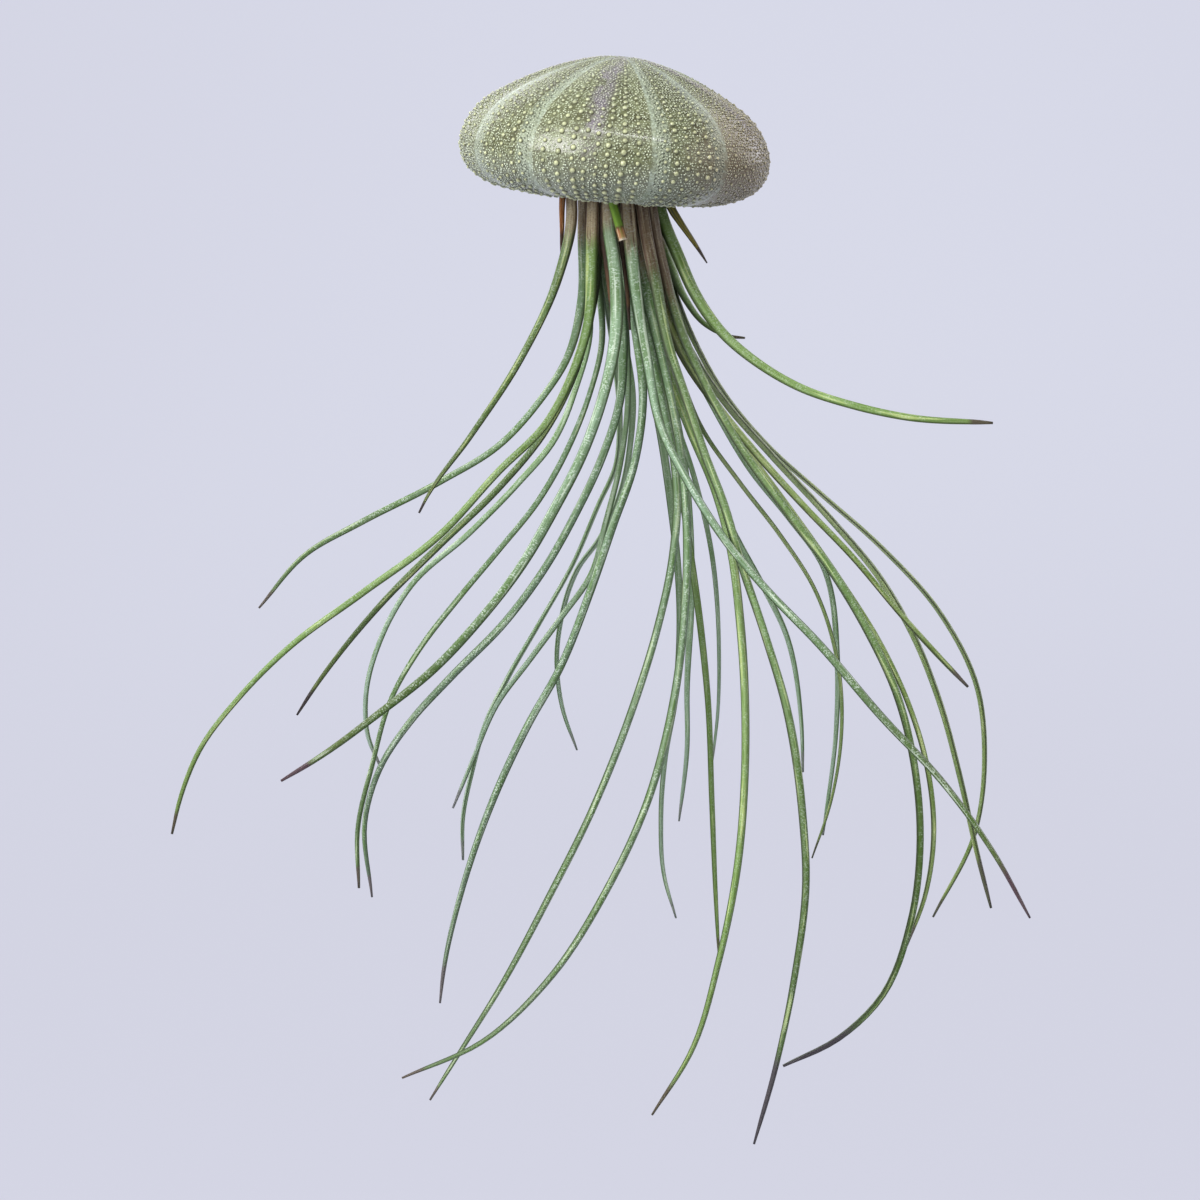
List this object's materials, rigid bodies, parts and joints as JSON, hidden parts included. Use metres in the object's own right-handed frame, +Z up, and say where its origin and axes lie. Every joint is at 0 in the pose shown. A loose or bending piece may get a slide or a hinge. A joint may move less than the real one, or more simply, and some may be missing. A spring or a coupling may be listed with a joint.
{
  "type": "air plant holder",
  "caption": "Hanging sea urchin shell, mouth down, holding a rush-leaved air plant whose leaves fan out below like a jellyfish's arms.",
  "frame": {"origin": "centre of the stop bead's line hole, the point that the holder hangs from", "axes": "+Z up along the shell's axis and the line hole, +X to the viewer's right, -Y toward the viewer"},
  "size_m": [0.2186, 0.1654, 0.266],
  "materials": {
    "urchin_shell": "matte",
    "bead": "satin",
    "crown_bark": "matte",
    "leaf_green": "matte",
    "leaf_silver": "matte",
    "leaf_dry": "matte"
  },
  "bodies": {
    "hanger": {"stop_bead": "bead"},
    "shell": {"shell": "urchin_shell"},
    "plant": {"crown": "crown_bark", "root_stubs": "crown_bark", "leaf_left_01": "leaf_green", "leaf_left_02": "leaf_green", "leaf_left_03": "leaf_green", "leaf_left_04": "leaf_green", "leaf_left_05": "leaf_green", "leaf_left_06": "leaf_silver", "leaf_left_07": "leaf_silver", "leaf_left_08": "leaf_green", "leaf_left_09": "leaf_silver", "leaf_left_10": "leaf_silver", "leaf_left_11": "leaf_green", "leaf_right_01": "leaf_silver", "leaf_right_02": "leaf_silver", "leaf_right_03": "leaf_silver", "leaf_right_04": "leaf_silver", "leaf_right_05": "leaf_green", "leaf_right_06": "leaf_silver", "leaf_right_07": "leaf_green", "leaf_right_08": "leaf_green", "leaf_right_09": "leaf_green", "leaf_right_10": "leaf_green", "leaf_right_11": "leaf_green", "leaf_right_12": "leaf_green", "leaf_right_13": "leaf_green", "leaf_right_14": "leaf_green", "leaf_right_15": "leaf_silver", "leaf_right_16": "leaf_green", "leaf_right_17": "leaf_green", "leaf_right_18": "leaf_green", "leaf_right_19": "leaf_green", "leaf_rim_left": "leaf_green", "leaf_rim_dry": "leaf_dry", "leaf_rim_right": "leaf_green", "leaf_rim_cut": "leaf_green", "dry_sheath_left": "leaf_dry", "dry_sheath_middle": "leaf_dry", "dry_sheath_right": "leaf_dry"}
  },
  "joints": [
    {"name": "shell_turn", "type": "hinge", "parent": "hanger", "child": "shell", "pos_m": [0, 0, 0], "axis": [0, 0, 1], "continuous": true},
    {"name": "plant_pull", "type": "slide", "parent": "shell", "child": "plant", "axis": [0, 0, -1], "range_m": [0, 0.06]}
  ]
}
